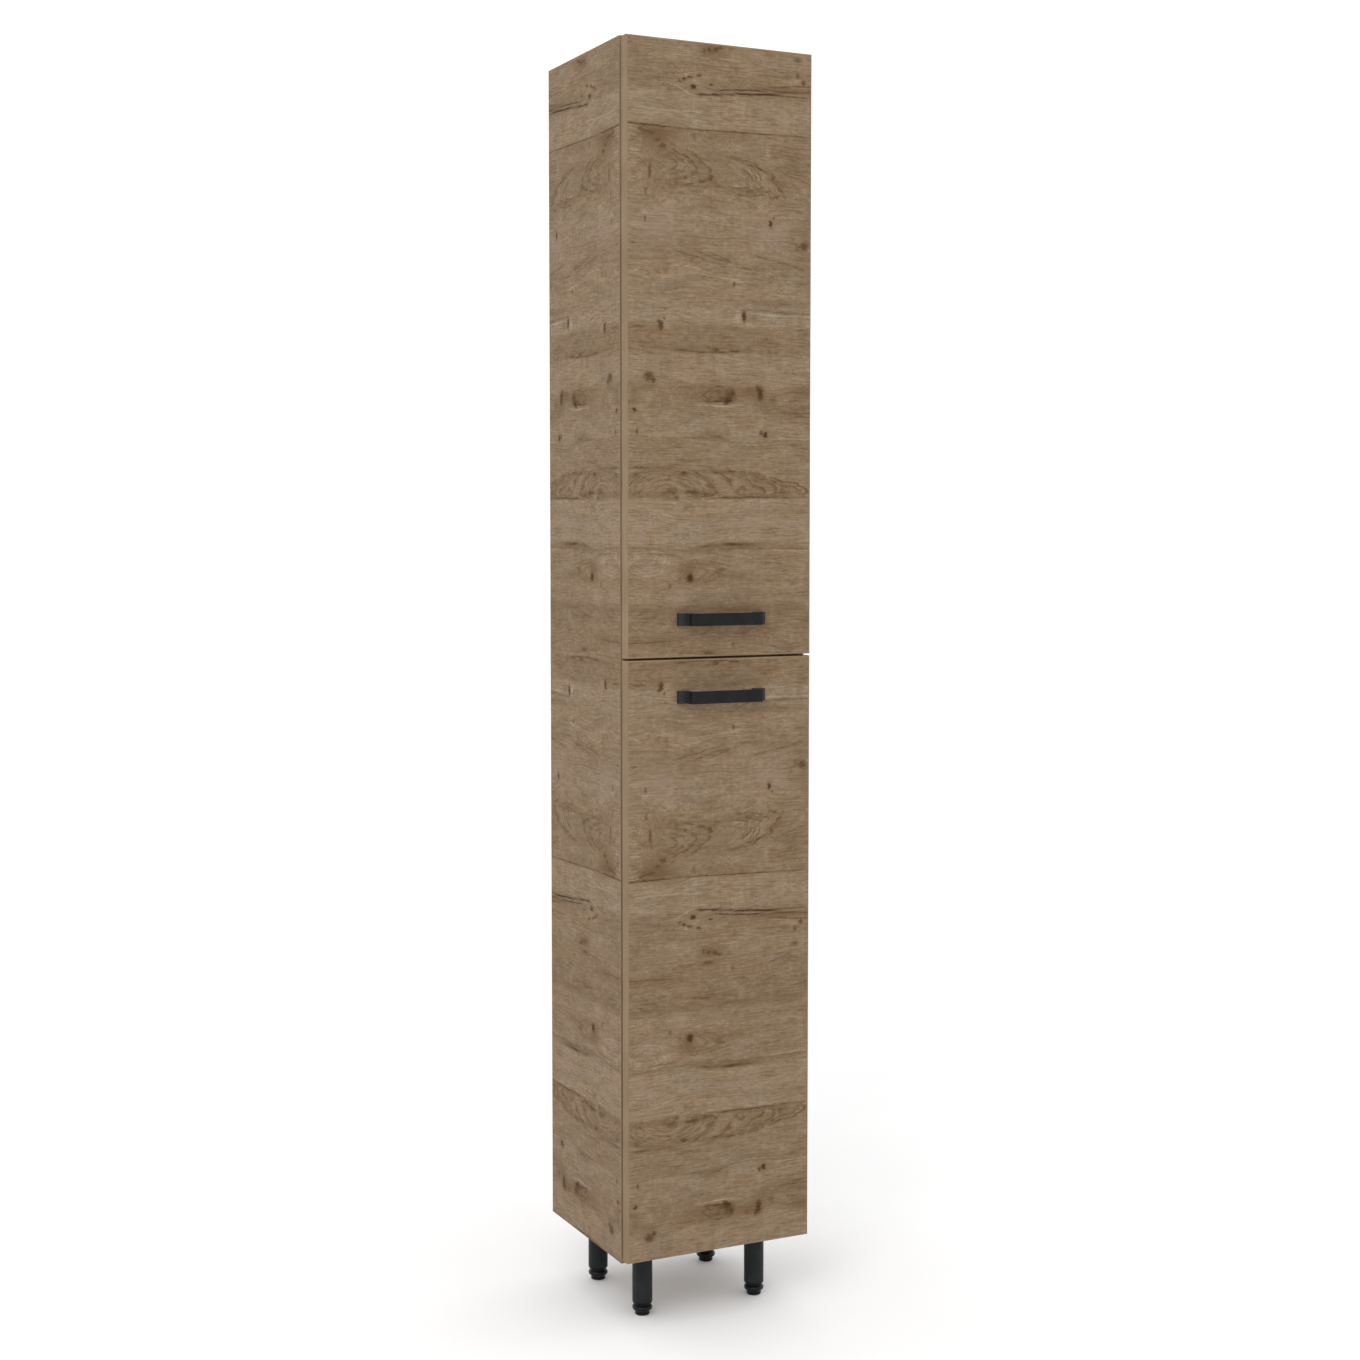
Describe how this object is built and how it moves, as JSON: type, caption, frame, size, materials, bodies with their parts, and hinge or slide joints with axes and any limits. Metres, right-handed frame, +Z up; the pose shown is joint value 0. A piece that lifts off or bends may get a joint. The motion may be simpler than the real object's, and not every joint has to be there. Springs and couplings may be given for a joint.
{
  "type": "tall bathroom cabinet",
  "caption": "Tall narrow bathroom cabinet in oak-look board: an upper and a lower door with black bridge handles, shelves inside, and round black legs with levelling feet.",
  "frame": {"origin": "on the floor, under the middle of the whole cabinet with its handles", "axes": "+Z up, doors and handles towards -Y, door hinges on the +X side"},
  "size_m": [0.3, 0.3056, 1.86],
  "materials": {
    "oak_laminate": "matt oak-look laminate on board",
    "oak_edge_band": "matt oak-look edging",
    "back_board": "thin fibreboard",
    "beech_dowel": "bare beech",
    "zinc_fitting": "zinc plated",
    "nickel_pin": "nickel plated",
    "nickel_steel": "nickel plated pressed steel",
    "steel_pin": "ground steel",
    "zinc_screw": "zinc plated",
    "black_handle": "satin black powder coat",
    "black_leg": "satin black powder coat",
    "black_plastic": "moulded black plastic",
    "clear_bumper": "translucent soft bumper"
  },
  "bodies": {
    "carcass": {"left_side_panel": "oak_laminate", "right_side_panel": "oak_laminate", "top_panel": "oak_laminate", "bottom_panel": "oak_laminate", "middle_shelf": "oak_laminate", "lower_shelf_1": "oak_laminate", "lower_shelf_2": "oak_laminate", "upper_shelf_1": "oak_laminate", "upper_shelf_2": "oak_laminate", "carcass_edge_bands": "oak_edge_band", "shelf_edge_bands": "oak_edge_band", "back_panel": "back_board", "wooden_dowels": "beech_dowel", "cam_locks": "zinc_fitting", "cam_bolts": "zinc_fitting", "upper_shelf_pins": "nickel_pin", "lower_shelf_pins": "nickel_pin", "hinge_arms": "nickel_steel", "hinge_mounting_plates": "nickel_steel", "hinge_plate_screws": "zinc_screw", "hinge_arm_screws": "zinc_screw", "leg_plate_screws": "zinc_screw", "wall_bracket_screws": "zinc_screw", "leg_mounting_plates": "black_leg", "leg_end_plugs": "black_plastic", "wall_brackets": "zinc_fitting", "front_left_leg": "black_leg", "front_right_leg": "black_leg", "rear_left_leg": "black_leg", "rear_right_leg": "black_leg"},
    "upper_door": {"upper_door_panel": "oak_laminate", "upper_door_edge_band": "oak_edge_band", "upper_door_handle": "black_handle", "upper_handle_screws": "zinc_screw", "upper_hinge_cups": "nickel_steel", "upper_hinge_cup_screws": "zinc_screw", "upper_hinge_pins": "steel_pin", "upper_door_bumpers": "clear_bumper"},
    "lower_door": {"lower_door_panel": "oak_laminate", "lower_door_edge_band": "oak_edge_band", "lower_door_handle": "black_handle", "lower_handle_screws": "zinc_screw", "lower_hinge_cups": "nickel_steel", "lower_hinge_cup_screws": "zinc_screw", "lower_hinge_pins": "steel_pin", "lower_door_bumpers": "clear_bumper"},
    "front_left_levelling_foot": {"front_left_foot": "black_plastic", "front_left_foot_stud": "zinc_screw"},
    "front_right_levelling_foot": {"front_right_foot": "black_plastic", "front_right_foot_stud": "zinc_screw"},
    "rear_left_levelling_foot": {"rear_left_foot": "black_plastic", "rear_left_foot_stud": "zinc_screw"},
    "rear_right_levelling_foot": {"rear_right_foot": "black_plastic", "rear_right_foot_stud": "zinc_screw"}
  },
  "joints": [
    {"name": "upper_door_hinge", "type": "hinge", "parent": "carcass", "child": "upper_door", "pos_m": [0.14146, -0.11975, 1.4205], "axis": [0, 0, 1], "range_deg": [0, 95]},
    {"name": "lower_door_hinge", "type": "hinge", "parent": "carcass", "child": "lower_door", "pos_m": [0.14146, -0.11975, 0.5425], "axis": [0, 0, 1], "range_deg": [0, 95]},
    {"name": "front_left_foot_level", "type": "slide", "parent": "carcass", "child": "front_left_levelling_foot", "axis": [0, 0, -1], "range_m": [0, 0.012]},
    {"name": "front_right_foot_level", "type": "slide", "parent": "carcass", "child": "front_right_levelling_foot", "axis": [0, 0, -1], "range_m": [0, 0.012]},
    {"name": "rear_left_foot_level", "type": "slide", "parent": "carcass", "child": "rear_left_levelling_foot", "axis": [0, 0, -1], "range_m": [0, 0.012]},
    {"name": "rear_right_foot_level", "type": "slide", "parent": "carcass", "child": "rear_right_levelling_foot", "axis": [0, 0, -1], "range_m": [0, 0.012]}
  ]
}
